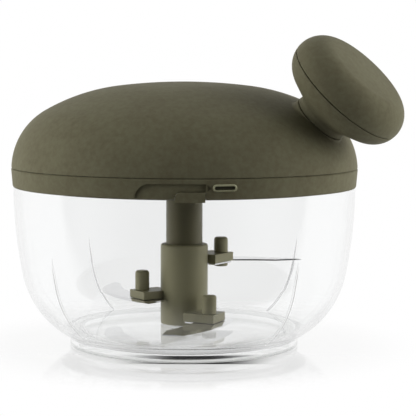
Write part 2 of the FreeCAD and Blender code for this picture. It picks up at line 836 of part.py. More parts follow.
def blade_bevel(bottom):
    """What the grinding of the outer edge takes off."""
    width, drop = blade_bevel_width, blade_thickness - blade_edge
    top = bottom + blade_thickness
    wedge = revolve(lines((blade_outer_arc - width, top), (blade_outer_arc + width, top),
                          (blade_outer_arc + width, top - 2 * drop), (blade_outer_arc - width, top)))
    wedge.translate(blade_outer_centre)
    return wedge


def make_blade(level):
    """Flat sickle between two arcs, with a pad under its arm."""
    bottom = level["top"] - arm_thickness - blade_thickness
    at = Vector(0, 0, bottom)
    sickle = Part.makeCylinder(blade_outer_arc, blade_thickness, at + blade_outer_centre)
    sickle = sickle.cut(Part.makeCylinder(blade_inner_arc, blade_thickness, at + blade_inner_centre))
    sickle = sickle.cut(blade_bevel(bottom))
    far = 2 * level["reach"]
    wedge = [at + polar(far, level["ends_at"]), at, at + polar(far, arm_low_angle / 2),
             at + polar(2 * far, (level["ends_at"] + arm_low_angle) / 2), at + polar(far, level["ends_at"])]
    sickle = sickle.common(Part.Face(Part.makePolygon(wedge)).extrude(Vector(0, 0, blade_thickness)))
    sickle = sickle.common(cylinder(level["reach"], bottom, bottom + blade_thickness))
    turned(sickle, level["blade_turn"])
    pad = rectangle(arm_start + pad_inset, arm_reach - pad_inset, arm_side + pad_inset,
                    arm_side + arm_width - pad_inset, bottom).extrude(Vector(0, 0, blade_thickness))
    turned(pad, arm_low_angle + level["arm_turn"])
    top = bottom + blade_thickness
    blade = sickle.fuse(pad).cut(cylinder(hub_radius + apart, bottom, top))
    return blade.cut(cylinder(peg_shank, bottom, top, peg_centre(level))).removeSplitter()


save("bowl", make_bowl())
save("foot_ring", make_foot_ring())
save("centre_pin", make_centre_pin())
save("lid_body", make_lid_body())
save("lid_seal", make_lid_seal())
save("shaft_bush", make_shaft_bush())
save("glide_ring", make_glide_ring())
save("release_tab", make_release_tab())
for number, angle in enumerate(planet_angles, 1):
    save("planet_gear_%d" % number, make_planet(angle))
save("planet_axles", [cylinder(axle_radius, deck_bottom, cover_top, polar(planet_circle, angle))
                      for angle in planet_angles])
save("gear_cover", make_gear_cover())
save("cover_screws", [screw(polar(cover_post_circle, angle), cover_top, cover_screw_length,
                            cover_screw_radius, screw_head_radius) for angle in cover_post_angles])
save("crank_dome", make_crank_dome())
save("drive_ring", make_drive_ring())
save("dome_screws", [screw(polar(dome_boss_circle, angle), web_bottom, dome_screw_length,
                           dome_screw_radius, screw_head_radius, -1) for angle in dome_boss_angles])
save("drive_shaft", make_drive_shaft())
save("sun_gear", make_sun_gear())
save("shaft_washer", tube(shaft_washer_radius, shaft_screw_radius, gear_top, gear_top + shaft_washer_height))
save("shaft_screw", screw(Vector(0, 0, 0), gear_top + shaft_washer_height, shaft_screw_length,
                          shaft_screw_radius, shaft_screw_head))
save("knob_body", make_knob_body())
save("knob_cap", make_knob_cap())
save("knob_bolt", make_knob_bolt())
save("knob_washer", make_knob_washer())
save("knife_hub", make_knife_hub())
save("blade_pegs", [make_peg(level) for level in levels.values()])
for name, level in levels.items():
    save("blade_" + name, make_blade(level))
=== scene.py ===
import bpy
import bmesh
import json
from math import radians, degrees, sin, cos, tan, asin, acos, pi, sqrt
from mathutils import Vector, Matrix
from mathutils.bvhtree import BVHTree


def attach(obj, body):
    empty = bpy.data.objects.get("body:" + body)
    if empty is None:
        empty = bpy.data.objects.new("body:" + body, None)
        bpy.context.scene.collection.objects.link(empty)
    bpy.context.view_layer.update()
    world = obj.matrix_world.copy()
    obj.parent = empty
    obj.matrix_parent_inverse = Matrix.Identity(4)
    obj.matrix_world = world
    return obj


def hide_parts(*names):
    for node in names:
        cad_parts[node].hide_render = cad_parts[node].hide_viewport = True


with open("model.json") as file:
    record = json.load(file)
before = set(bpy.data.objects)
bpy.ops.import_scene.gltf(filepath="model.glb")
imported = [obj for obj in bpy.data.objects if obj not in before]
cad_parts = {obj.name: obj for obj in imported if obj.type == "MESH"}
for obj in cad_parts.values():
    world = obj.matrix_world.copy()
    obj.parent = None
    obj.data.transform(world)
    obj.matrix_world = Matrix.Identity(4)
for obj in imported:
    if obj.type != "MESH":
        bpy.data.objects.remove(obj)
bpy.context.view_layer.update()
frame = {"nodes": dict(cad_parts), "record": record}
print("frame loaded:", len(frame["nodes"]), "nodes")

# Pieces are drawn in millimetres and brought to metres when they are finished.
metre = 0.001
scene = bpy.context.scene
white = (1.0, 1.0, 1.0, 1.0)


class Value:
    # a socket that takes part in Python expressions
    def __init__(self, tree, socket):
        self.tree, self.socket = tree, socket

    def math(self, operation, *others):
        return self.tree.node("ShaderNodeMath", {"operation": operation}, dict(enumerate((self,) + others)))

    def __add__(self, other):
        return self.math("ADD", other)

    def __sub__(self, other):
        return self.math("SUBTRACT", other)

    def __rsub__(self, other):
        return self.tree.node("ShaderNodeMath", {"operation": "SUBTRACT"}, {0: other, 1: self})

    def __mul__(self, other):
        return self.math("MULTIPLY", other)

    __radd__, __rmul__ = __add__, __mul__

    def larger(self, other):
        return self.math("MAXIMUM", other)

    def between(self, low, high):
        # 0 at low, 1 at high, smooth in between
        return self.tree.node("ShaderNodeMapRange", {"interpolation_type": "SMOOTHSTEP"},
                              {"Value": self, "From Min": low, "From Max": high})


class Shading:
    def __init__(self, nodeTree):
        self.nodeTree = nodeTree
        nodeTree.nodes.clear()

    def node(self, kind, settings=None, inputs=None, output=0):
        made = self.nodeTree.nodes.new(kind)
        for name, value in (settings or {}).items():
            setattr(made, name, value)
        for name, value in (inputs or {}).items():
            if isinstance(value, Value):
                self.nodeTree.links.new(value.socket, made.inputs[name])
            else:
                made.inputs[name].default_value = value
        return Value(self, made.outputs[output]) if made.outputs else None

    def blendColours(self, factor, first, second):
        return self.node("ShaderNodeMix", {"data_type": "RGBA"}, {0: factor, 6: first, 7: second}, 2)

    def noise(self, scale, detail=2.0, roughness=0.5, where=None):
        return self.node("ShaderNodeTexNoise", {}, {
            "Vector": where or self.place(), "Scale": scale, "Detail": detail, "Roughness": roughness})

    def place(self, **mapping):
        spot = self.node("ShaderNodeTexCoord", output="Object")
        if not mapping:
            return spot
        return self.node("ShaderNodeMapping", {}, {"Vector": spot, **mapping})

    def bump(self, height, strength, distance):
        return self.node("ShaderNodeBump", {}, {
            "Height": height, "Strength": strength, "Distance": distance})

    def plastic(self, inputs):
        return self.node("ShaderNodeBsdfPrincipled", {}, inputs)

    def mixed(self, factor, first, second):
        return self.node("ShaderNodeMixShader", {}, {0: factor, 1: first, 2: second})

    def rayKind(self, name):
        return self.node("ShaderNodeLightPath", output=name)

    def straightThrough(self):
        # rays that have only gone through clear plastic, without a reflection
        return self.rayKind("Is Transmission Ray") * self.rayKind("Glossy Depth").math("LESS_THAN", 0.5)


def newMaterial(name):
    material = bpy.data.materials.new(name)
    material.use_nodes = True
    return material, Shading(material.node_tree)


def surface(shading, shader):
    shading.node("ShaderNodeOutputMaterial", {}, {"Surface": shader})


def rgb(r, g, b):
    # screen colour, 0 to 255, to a linear one
    def linear(value):
        value /= 255
        return value / 12.92 if value <= 0.04045 else ((value + 0.055) / 1.055) ** 2.4
    return linear(r), linear(g), linear(b), 1.0


def shaded(colour, share):
    return tuple(share * c for c in colour[:3]) + (1.0,)


# soft-touch plastic of the dome, the lid ring and the knob; patches to fine are pattern scales
olive = dict(colour=rgb(119, 117, 93), deep=rgb(103, 98, 77), roughness=0.66, uneven=0.16, sheen=0.1,
             grain=0.00006, patches=60, mottle=420, specks=900, fine=2600)


def olivePlastic():
    material, s = newMaterial("olivePlastic")
    patches = s.noise(olive["patches"], 4, 0.6).between(0.32, 0.68)
    fine = s.noise(olive["fine"], 3, 0.65)
    specks = s.noise(olive["specks"], 2, 0.5)
    mottle = s.noise(olive["mottle"], 4, 0.7).between(0.3, 0.7)
    colour = s.blendColours(patches * 0.3 + mottle * 0.5 + fine * 0.2, olive["colour"], olive["deep"])
    grain = s.bump(fine * 0.7 + specks * 0.3, 0.35, olive["grain"])
    surface(s, s.plastic({
        "Base Color": colour, "Roughness": olive["roughness"] + (specks - 0.5) * olive["uneven"],
        "Specular IOR Level": olive["sheen"], "Normal": grain}))
    return material


# clear plastic of the bowl; turns and depth say where it shows a painted glow for light that has run long
# inside it, at the strength glow
clear = dict(colour=(0.976, 0.98, 0.98, 1.0), roughness=0.02, ior=1.47, waves=0.00002, flow=22, haze=140,
             passing=(0.99, 0.99, 0.99, 1.0), glow=0.62, turns=2.5, depth=7)


def clearPlastic():
    material, s = newMaterial("clearPlastic")
    flow = s.noise(clear["flow"], 2, 0.5, s.place(Scale=(1, 1, 0.35)))
    haze = s.noise(clear["haze"], 3, 0.6).between(0.45, 0.8)
    plastic = s.plastic({
        "Base Color": clear["colour"], "Roughness": clear["roughness"] + haze * 0.02, "IOR": clear["ior"],
        "Transmission Weight": 1.0, "Normal": s.bump(flow, 0.2, clear["waves"])})
    # a painted glow stands in for light that has run a long way inside the plastic
    trapped = s.rayKind("Glossy Depth").math("GREATER_THAN", clear["turns"]).larger(
        s.rayKind("Ray Depth").math("GREATER_THAN", clear["depth"]))
    # the painted glow: the plastic shines by itself, though it is no lamp
    glow = s.node("ShaderNodeEmission", {}, {"Color": clear["colour"], "Strength": clear["glow"]})
    # light for what is inside goes straight through
    passing = s.rayKind("Is Shadow Ray").larger(s.rayKind("Is Diffuse Ray"))
    through = s.node("ShaderNodeBsdfTransparent", {}, {"Color": clear["passing"]})
    surface(s, s.mixed(passing, s.mixed(trapped, plastic, glow), through))
    return material


silicone = dict(colour=rgb(238, 239, 237), roughness=0.12, ior=1.41, fine=700, grain=0.00003)


def frostedSilicone():
    material, s = newMaterial("frostedSilicone")
    fine = s.noise(silicone["fine"], 2, 0.5)
    surface(s, s.plastic({
        "Base Color": silicone["colour"], "Roughness": silicone["roughness"] + fine * 0.1,
        "IOR": silicone["ior"], "Transmission Weight": 1.0, "Normal": s.bump(fine, 0.2, silicone["grain"])}))
    return material


# stretch is how many times longer than wide the brushed lines are
metal = dict(stretch=14, wear=120, dull=0.86, brushDepth=0.00002)


def steel(name, roughness, streaks, colour, brushing=0.12):
    material, s = newMaterial(name)
    brushed = s.noise(streaks, 4, 0.6, s.place(Scale=(1, metal["stretch"], metal["stretch"])))
    worn = s.noise(metal["wear"], 3, 0.55)
    surface(s, s.plastic({
        "Base Color": s.blendColours(worn, colour, shaded(colour, metal["dull"])),
        "Metallic": 1.0, "Roughness": roughness + brushed * brushing + (worn - 0.5) * 0.05,
        "Normal": s.bump(brushed, 0.12, metal["brushDepth"])}))
    return material


moulded = dict(cloud=80, fine=1800, shade=0.93, grain=0.00003)


def mouldedPlastic(name, colour, roughness, sheen, tint=white):
    material, s = newMaterial(name)
    cloud = s.noise(moulded["cloud"], 3, 0.5)
    fine = s.noise(moulded["fine"], 2, 0.5)
    surface(s, s.plastic({
        "Base Color": s.blendColours(cloud, colour, shaded(colour, moulded["shade"])),
        "Roughness": roughness + (fine - 0.5) * 0.1, "Specular IOR Level": sheen, "Specular Tint": tint,
        "Normal": s.bump(fine, 0.2, moulded["grain"])}))
    return material


# colour, roughness, sheen and tint of the olive pieces that are shaded apart; some of these colours paint
# light and shade
warm = (1.0, 0.93, 0.7, 1.0)
# sleeve: a darker copy of the olive, painted shade for the shade under the lid; knife: lighter, partly its
# own tone and partly painted light making up for the shade inside the bowl
olivePart = dict(shadedSleeve=(rgb(84, 81, 59), 0.4, 0.8, warm), knife=(rgb(132, 129, 102), 0.42, 0.55, warm),
                 # the rim's lighter colour is a painted highlight; the dark colour inside the mark is
                 # painted shade
                 rim=(rgb(176, 176, 142), 0.45, 0.5), paintedShadeInlay=(rgb(58, 57, 44), 0.55, 0.2))

finishes = {
    "olive_plastic": olivePlastic(),
    "clear_bowl": clearPlastic(),
    "blade_steel": steel("groundSteel", 0.05, 60, (0.78, 0.78, 0.79, 1.0), 0.06),
    "steel": steel("turnedSteel", 0.24, 90, (0.60, 0.60, 0.61, 1.0)),
    "acetal": mouldedPlastic("acetalPlastic", rgb(232, 230, 222), 0.42, 0.45),
    "soft_rubber": frostedSilicone(),
}
print("materials made")


# distances, in millimetres, under which points are one
merge = dict(spin=0.0005, shell=0.001, node=0.002, cut=0.0001)
flatWithin = 0.6  # degrees between neighbouring faces of a flat side


def vertsIn(parts):
    return [part for part in parts if isinstance(part, bmesh.types.BMVert)]


def edgesIn(parts):
    return [part for part in parts if isinstance(part, bmesh.types.BMEdge)]


class Profile:
    # a lathe outline in the XZ plane, drawn as straight runs and arcs, then spun about Z
    def __init__(self, x, z, lean=0.0):
        self.mesh = bmesh.new()
        self.last = self.mesh.verts.new((x, 0, z))
        self.lean = lean
        self.corners = []

    def line(self, x, z, corner=0.0):
        # corner rounds the point that the line starts from
        if corner:
            self.rounded(corner)
        self.last = bmesh.ops.extrude_vert_indiv(self.mesh, verts=[self.last])["verts"][0]
        self.last.co = (x, 0, z)
        return self

    def rounded(self, radius):
        self.corners.append((self.last, radius))

    def arc(self, cx, cz, turn, steps):
        made = bmesh.ops.spin(self.mesh, geom=[self.last], cent=(cx, 0, cz), axis=(0, 1, 0),
                              angle=radians(turn), steps=steps, use_merge=False, use_duplicate=False)
        self.last = vertsIn(made["geom_last"])[0]
        return self

    def leanArc(self, radius, lean, steps, upwards=1):
        # goes on in the direction that leans self.lean degrees from vertical, until it leans lean
        here, angle = self.last.co, radians(self.lean)
        centre = (here.x - radius * cos(angle), here.z - upwards * radius * sin(angle))
        self.arc(*centre, -upwards * (lean - self.lean), steps)
        self.lean = lean
        return self

    def spun(self, steps):
        for corner, radius in self.corners:
            bmesh.ops.bevel(self.mesh, geom=[corner], offset=radius, offset_type="OFFSET", segments=4,
                            affect="VERTICES", profile=0.5, material=-1)
        bmesh.ops.spin(self.mesh, geom=self.mesh.verts[:] + self.mesh.edges[:], cent=(0, 0, 0),
                       axis=(0, 0, 1), angle=2 * pi, steps=steps, use_merge=True)
        return sealed(self.mesh, merge["spin"])


def sealed(mesh, distance):
    # doubles merged, faces turned outwards
    bmesh.ops.remove_doubles(mesh, verts=mesh.verts, dist=distance)
    bmesh.ops.recalc_face_normals(mesh, faces=mesh.faces)
    return mesh


def meshData(name, mesh):
    data = bpy.data.meshes.new(name)
    mesh.to_mesh(data)
    mesh.free()
    return data


def placed(name, data):
    made = bpy.data.objects.new(name, data)
    scene.collection.objects.link(made)
    return made


def piece(name, mesh, slot, body, stands=(), crease=40.0, finish=None):
    # smooth the faces, keep the edges sharper than crease, bring to metres and ride on the body
    for face in mesh.faces:
        face.smooth = True
    for edge in mesh.edges:
        edge.smooth = not sharper(edge, crease)
    bmesh.ops.scale(mesh, vec=(metre,) * 3, verts=mesh.verts)
    made = placed(name, meshData(name, mesh))
    made.data.materials.append(finish or finishes[slot])
    # flat sides stay flat beside their rounded edges
    made.modifiers.new("evenNormals", "WEIGHTED_NORMAL").keep_sharp = True
    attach(made, body)
    if stands:
        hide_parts(*stands)
    return made


def nodeMesh(node):
    # a merged copy of a CAD node, in millimetres, with its flat sides made whole again
    mesh = bmesh.new()
    mesh.from_mesh(frame["nodes"][node].data)
    bmesh.ops.scale(mesh, vec=(1 / metre,) * 3, verts=mesh.verts)
    bmesh.ops.remove_doubles(mesh, verts=mesh.verts, dist=merge["node"])
    bmesh.ops.dissolve_limit(mesh, angle_limit=radians(flatWithin), verts=mesh.verts, edges=mesh.edges)
    return mesh


def sharper(edge, angle):
    return edge.is_manifold and edge.calc_face_angle(0.0) > radians(angle)


def softened(node, width, fromAngle=35.0, segments=3):
    mesh = nodeMesh(node)
    sharp = [edge for edge in mesh.edges if sharper(edge, fromAngle)]
    bmesh.ops.bevel(mesh, geom=sharp, offset=width, offset_type="OFFSET", segments=segments, affect="EDGES",
                    profile=0.5, material=-1, clamp_overlap=True, loop_slide=True)
    return mesh


def joined(*meshes):
    # several meshes in the first one
    for other in meshes[1:]:
        data = meshData("part", other)
        meshes[0].from_mesh(data)
        bpy.data.meshes.remove(data)
    return meshes[0]


def united(base, tools):
    # one closed skin of the base and its tools
    holders = [placed("part", meshData("part", mesh)) for mesh in (base, joined(*tools))]
    union = holders[0].modifiers.new("join", "BOOLEAN")
    union.operation, union.solver, union.object, union.use_self = "UNION", "EXACT", holders[1], True
    bpy.context.view_layer.update()
    result = bmesh.new()
    result.from_object(holders[0], bpy.context.evaluated_depsgraph_get())
    for holder in holders:
        data = holder.data
        bpy.data.objects.remove(holder)
        bpy.data.meshes.remove(data)
    return result


# The bowl's side and base are two arcs that run into each other.
bowl = dict(shoulder=74.6, shoulderHeight=70.0, sideArc=197.5, sideTurn=11.3, baseArc=38.7, wall=2.4,
            floor=8.0, floorRound=6.0, collar=73.2, collarTop=72.2, neck=71.2, neckTop=74.3, ledge=69.8,
            foot=50.15, footInside=46.3, footBottom=0.4, grooveOut=49.0, grooveIn=47.0, grooveTop=1.6,
            underside=5.5, post=5.5, postTop=12.0, postBottom=2.4, pin=2.52, pinBottom=6.0,
            sideSteps=18, baseSteps=30, floorSteps=12, around=192, crease=32)
bowlEdge = dict(neck=0.5, collar=0.3, foot=0.4, inFoot=0.3, postRoot=2.5, postFoot=0.8, postTop=1.0, pin=0.5)
rib = dict(count=4, first=-49.5, depth=0.9, width=0.9, top=52.0, foot=61.0, edge=0.42, sharper=60, flat=0.01,
           steps=20)


def baseCentre():
    # where the base arc is drawn from
    turn = radians(bowl["sideTurn"])
    return (bowl["shoulder"] - bowl["sideArc"] * (1 - cos(turn)) - bowl["baseArc"] * cos(turn),
            bowl["shoulderHeight"] - (bowl["sideArc"] - bowl["baseArc"]) * sin(turn))


def onBase(inset, lean):
    # the point of the base arc that leans this much, moved inwards by inset
    centreX, centreZ = baseCentre()
    return (centreX + (bowl["baseArc"] - inset) * cos(radians(lean)),
            centreZ - (bowl["baseArc"] - inset) * sin(radians(lean)))


def bowlArcs(outline, inset, lastLean, start=0.0):
    # the side arc and the base arc, moved inwards by inset
    outline.lean = start
    outline.leanArc(bowl["sideArc"] - inset, bowl["sideTurn"], bowl["sideSteps"], -1)
    return outline.leanArc(bowl["baseArc"] - inset, lastLean, bowl["baseSteps"], -1)


def bowlOutside():
    height, edge = bowl["shoulderHeight"], bowlEdge
    outline = Profile(bowl["neck"] - bowl["wall"] / 2, bowl["neckTop"])
    outline.line(bowl["neck"], bowl["neckTop"]).line(bowl["neck"], bowl["collarTop"], edge["neck"])
    outline.line(bowl["collar"], bowl["collarTop"]).line(bowl["collar"], height, edge["collar"])
    outline.line(bowl["shoulder"], height)
    bowlArcs(outline, 0, degrees(acos((bowl["foot"] - baseCentre()[0]) / bowl["baseArc"])))
    outline.line(bowl["foot"], bowl["footBottom"], edge["foot"])
    outline.line(bowl["grooveOut"], bowl["footBottom"], edge["foot"])
    outline.line(bowl["grooveOut"], bowl["grooveTop"]).line(bowl["grooveIn"], bowl["grooveTop"])
    outline.line(bowl["grooveIn"], bowl["footBottom"]).line(bowl["footInside"], bowl["footBottom"])
    outline.line(bowl["footInside"], bowl["underside"], edge["inFoot"])
    outline.line(bowl["post"], bowl["underside"], edge["postRoot"])
    outline.line(bowl["post"], bowl["postBottom"], edge["postFoot"])
    outline.line(0, bowl["postBottom"], edge["postFoot"])
    return outline.spun(bowl["around"])


def bowlInside():
    wall, rounding, edge = bowl["wall"], bowl["floorRound"], bowlEdge
    inner = bowl["neck"] - wall
    lean = asin((bowl["shoulderHeight"] - bowl["ledge"]) / (bowl["sideArc"] - wall))
    floorLean = asin((baseCentre()[1] - bowl["floor"] - rounding) / (bowl["baseArc"] - wall - rounding))
    outline = Profile(bowl["neck"] - wall / 2, bowl["neckTop"])
    outline.line(inner, bowl["neckTop"]).line(inner, bowl["ledge"], edge["neck"])
    outline.line(bowl["shoulder"] - wall, bowl["ledge"], edge["collar"])
    bowlArcs(outline, wall, degrees(floorLean), degrees(lean))
    outline.leanArc(rounding, 90.0, bowl["floorSteps"], -1)
    outline.line(bowl["post"], bowl["floor"]).line(bowl["post"], bowl["postTop"], edge["postTop"])
    outline.line(bowl["pin"], bowl["postTop"], edge["pin"]).line(bowl["pin"], bowl["pinBottom"])
    outline.line(0, bowl["pinBottom"])
    return outline.spun(bowl["around"])


def sideRadius(height, inset):
    drop = bowl["shoulderHeight"] - height
    arc = bowl["sideArc"] - inset
    return bowl["shoulder"] - inset - arc + sqrt(arc ** 2 - drop ** 2)


def makeRib(number):
    # a fin between the wall's middle and a line that runs into the wall at its top
    deep, half, turn = bowl["wall"] + rib["depth"], bowl["wall"] / 2, bowl["sideTurn"]
    outline = Profile(sideRadius(rib["top"], half), rib["top"], turn)
    outline.line(*onBase(deep, turn)).leanArc(bowl["baseArc"] - deep, rib["foot"], rib["steps"], -1)
    outline.line(*onBase(half, rib["foot"])).arc(*baseCentre(), turn - rib["foot"], rib["steps"])
    mesh = outline.mesh
    mesh.verts.ensure_lookup_table()
    mesh.edges.new((mesh.verts[0], outline.last))
    bmesh.ops.contextual_create(mesh, geom=mesh.edges[:])
    bmesh.ops.translate(mesh, vec=(0, -rib["width"] / 2, 0), verts=mesh.verts)
    made = bmesh.ops.extrude_face_region(mesh, geom=mesh.faces[:])
    bmesh.ops.translate(mesh, vec=(0, rib["width"], 0), verts=vertsIn(made["geom"]))
    bmesh.ops.recalc_face_normals(mesh, faces=mesh.faces)
    # the edges that run along the rib, not across it
    crests = [edge for edge in mesh.edges if edge.calc_face_angle(0.0) > radians(rib["sharper"])
              and abs(edge.verts[0].co.y - edge.verts[1].co.y) < rib["flat"]]
    bmesh.ops.bevel(mesh, geom=crests, offset=rib["edge"], offset_type="OFFSET", segments=4, affect="EDGES",
                    profile=0.5, material=-1)
    bmesh.ops.rotate(mesh, cent=(0, 0, 0), verts=mesh.verts,
                     matrix=Matrix.Rotation(radians(rib["first"] + 360 / rib["count"] * number), 3, "Z"))
    return mesh


def makeBowl():
    shell = sealed(joined(bowlOutside(), bowlInside()), merge["shell"])
    whole = united(shell, [makeRib(number) for number in range(rib["count"])])
    piece("bowlShell", whole, "clear_bowl", "bowl", ["bowl"], bowl["crease"])


makeBowl()
print("bowl made")


# arcs are the radius, the last lean and the steps of each run from the dome's edge upwards
dome = dict(radius=75.4, bottom=78.28, lean=1.7, arcs=((29.4, 60.0, 28), (85.5, 83.0, 14)), crownSteps=8,
            wall=2.4, edge=0.2, innerEdge=0.3, around=192, crease=50)
knob = dict(azimuth=-28.0, tilt=45.0, circle=76.6, height=112.6, radius=27.3, rim=10.8, crownTurn=4.0,
            parting=-1.3, partingGap=0.3, lip=0.35, underside=26.5, neck=11.5, neckFoot=12.2, neckEnd=-17.3,
            neckRound=1.6, footEdge=0.5, shell=3.0, shellRound=2.0, spigot=(21.8, 23.0, 1.2), groove=0.7,
            fill=0.25, bore=3.1, boreTop=-2.3, capSteps=40, crownSteps=8, underSteps=26, around=128)
seat = dict(gap=0.3, edge=0.3, flare=1.4, sunk=0.06, above=8, rings=9, around=96)


def knobPlace():
    angle = radians(knob["azimuth"])
    centre = Vector((knob["circle"] * cos(angle), knob["circle"] * sin(angle), knob["height"]))
    turn = Matrix.Rotation(angle, 4, "Z") @ Matrix.Rotation(radians(knob["tilt"]), 4, "Y")
    return Matrix.Translation(centre) @ turn


def domeSkin(inset):
    outline = Profile(dome["radius"] - dome["wall"] / 2, dome["bottom"], dome["lean"])
    outline.line(dome["radius"] - inset, dome["bottom"])
    outline.rounded(dome["innerEdge"] if inset else dome["edge"])
    for radius, lean, steps in dome["arcs"]:
        outline.leanArc(radius - inset, lean, steps)
    outline.leanArc(outline.last.co.x / cos(radians(outline.lean)), 90.0, dome["crownSteps"])
    return outline.spun(dome["around"])


def knobSeat(skin):
    # boss that the knob stands on; its foot runs out into the dome
    tree = BVHTree.FromBMesh(skin)
    place = knobPlace()
    back = place.inverted()
    down = place.to_3x3() @ Vector((0, 0, -1))
    top = knob["neckEnd"] - seat["gap"]
    radius = knob["neckFoot"]

    def onDome(spot):
        return tree.ray_cast(place @ Vector((spot.x, spot.y, top + seat["above"])), down)[0]

    mesh = bmesh.new()
    bmesh.ops.create_circle(mesh, segments=seat["around"], radius=radius - seat["edge"], cap_ends=True)
    bmesh.ops.transform(mesh, matrix=place @ Matrix.Translation((0, 0, top)), verts=mesh.verts)
    edges = mesh.edges[:]
    for step in range(seat["rings"] + 1):
        made = bmesh.ops.extrude_edge_only(mesh, edges=edges)
        edges = edgesIn(made["geom"])
        for vert in {vert for edge in edges for vert in edge.verts}:
            around = back @ vert.co
            around.z = 0
            around.normalize()
            start = place @ (around * radius + Vector((0, 0, top - seat["edge"])))
            corner, end = onDome(around * radius), onDome(around * (radius + seat["flare"]))
            t = step / seat["rings"]
            vert.co = start * (1 - t) ** 2 + corner * 2 * t * (1 - t) + (end + down * seat["sunk"]) * t * t
    made = bmesh.ops.extrude_edge_only(mesh, edges=edges)
    bmesh.ops.translate(mesh, vec=down * (dome["wall"] / 2), verts=vertsIn(made["geom"]))
    bmesh.ops.contextual_create(mesh, geom=edgesIn(made["geom"]))
    bmesh.ops.recalc_face_normals(mesh, faces=mesh.faces)
    return mesh


def makeDome():
    outside = domeSkin(0.0)
    boss = knobSeat(outside)
    shell = sealed(joined(outside, domeSkin(dome["wall"])), merge["shell"])
    piece("domeShell", joined(shell, boss), "olive_plastic", "crank", ["crank_dome"], dome["crease"])


makeDome()
print("dome made")


def rimPoint(lean):
    angle = radians(lean)
    return knob["radius"] - knob["rim"] + knob["rim"] * cos(angle), knob["rim"] * sin(angle)


def partingEdge(side):
    # height, lean and radius of the parting line's upper (1) or lower (-1) edge
    level = knob["parting"] + side * knob["partingGap"] / 2
    lean = degrees(asin(level / knob["rim"]))
    return level, lean, rimPoint(lean)[0]


def makeKnobHalf(name, outline, node):
    mesh = outline.spun(knob["around"])
    bmesh.ops.transform(mesh, matrix=knobPlace(), verts=mesh.verts)
    piece(name, mesh, "olive_plastic", "knob", [node])


def makeKnobCap():
    turn, rim = radians(knob["crownTurn"]), knob["rim"]
    crown = (knob["radius"] - rim) / sin(turn) + rim
    level, start, edge = partingEdge(1)
    inner, ceiling = knob["radius"] - knob["shell"], rim - knob["shell"]
    outline = Profile(0, ceiling)
    outline.line(inner - rim / 2, ceiling).line(inner - 1, level, knob["shellRound"]).line(edge, level)
    outline.rounded(knob["lip"])
    outline.arc(knob["radius"] - rim, 0, start - (90 - knob["crownTurn"]), knob["capSteps"])
    outline.arc(0, outline.last.co.z - crown * cos(turn), -knob["crownTurn"], knob["crownSteps"])
    makeKnobHalf("knobCap", outline, "knob_cap")


def makeKnobBody():
    level, start, edge = partingEdge(-1)
    underX, underZ = rimPoint(knob["underside"] - 90)
    neckTop = underZ - (underX - knob["neck"]) * tan(radians(knob["underside"]))
    # a low ring inside the cap closes the parting line to the eye
    within, without, rise = knob["spigot"]
    outline = Profile(0, level - rise).line(within, level - rise).line(within, level + rise)
    groove, fill = edge - knob["groove"], level + knob["fill"]
    outline.line(without, level + rise).line(without, fill).line(groove, fill)
    outline.line(groove, level).line(edge, level)
    outline.rounded(knob["lip"])
    outline.arc(knob["radius"] - knob["rim"], 0, start - (knob["underside"] - 90), knob["underSteps"])
    outline.line(knob["neck"], neckTop).line(knob["neckFoot"], knob["neckEnd"], knob["neckRound"])
    groove, end = knob["neckFoot"] - knob["groove"], knob["neckEnd"] - knob["fill"]
    outline.line(groove, knob["neckEnd"], knob["footEdge"]).line(groove, end).line(knob["bore"], end)
    outline.line(knob["bore"], knob["boreTop"]).line(0, knob["boreTop"])
    makeKnobHalf("knobBody", outline, "knob_body")


makeKnobCap()
makeKnobBody()
print("knob made")


# Lid, shaft and knife are the CAD solids with their edges eased by these widths.
eased = dict(lid_body=0.15, release_tab=0.35, drive_shaft=0.3, knife_hub=0.55, blade_pegs=0.3)
easedCrease = 35
ownFinishAndPaintedLight = {"drive_shaft": "shadedSleeve", "knife_hub": "knife", "blade_pegs": "knife"}
blade = dict(levels=("low", "mid", "top"), thinness=0.6, crease=12)


def makeEased(bodies, slots):
    for node, width in eased.items():
        first, *others = node.split("_")
        name = first + "".join(other.capitalize() for other in others) + "Eased"
        own = ownFinishAndPaintedLight.get(node)
        # the sleeve's darker colour is painted shade, the knife's lighter colour is partly painted light
        finish = mouldedPlastic(own + "Plastic", *olivePart[own]) if own else None
        piece(name, softened(node, width), slots[node], bodies[node], [node], easedCrease, finish)
        print("eased", node)


def makeBlades():
    # the blades are ground thinner than their sheet
    for level in blade["levels"]:
        mesh = nodeMesh("blade_" + level)
        heights = [vert.co.z for vert in mesh.verts]
        middle = (min(heights) + max(heights)) / 2
        for vert in mesh.verts:
            vert.co.z = middle + (vert.co.z - middle) * blade["thinness"]
        piece("blade" + level.capitalize() + "Ground", mesh, "blade_steel", "knife", ["blade_" + level],
              blade["crease"])


def finishNodes(slots):
    for node, made in frame["nodes"].items():
        made.data.materials.clear()
        made.data.materials.append(finishes[slots[node]])


bodyOf = {node: body for body, nodes in frame["record"]["behaviour"]["bodies"].items() for node in nodes}
slotOf = {part["node"]: part["material_slot"] for part in frame["record"]["subparts"]}
makeEased(bodyOf, slotOf)
makeBlades()
finishNodes(slotOf)
print("blades made")


# painted highlight on the mark's rim and painted shade inlaid inside the mark on the lid ring; ring and lean
# are the ring's side there
mark = dict(x=15.9, z=74.5, reach=3.3, radius=1.1, tube=0.4, ring=75.24, lean=0.0845, stands=0.33,
            paintedShadeInlay=0.05, depth=0.5, firstTurn=0.5, tubeSegments=12, segments=48, cuts=8)


def onRing(mesh, radius):
    # lay a flat outline in the XZ plane round the front of the ring, its y kept as depth
    for vert in mesh.verts:
        x, z = vert.co.x + mark["x"], vert.co.z + mark["z"]
        outwards = radius + vert.co.z * mark["lean"] - vert.co.y
        vert.co = (x, -sqrt(outwards ** 2 - x ** 2), z)
    bmesh.ops.recalc_face_normals(mesh, faces=mesh.faces)


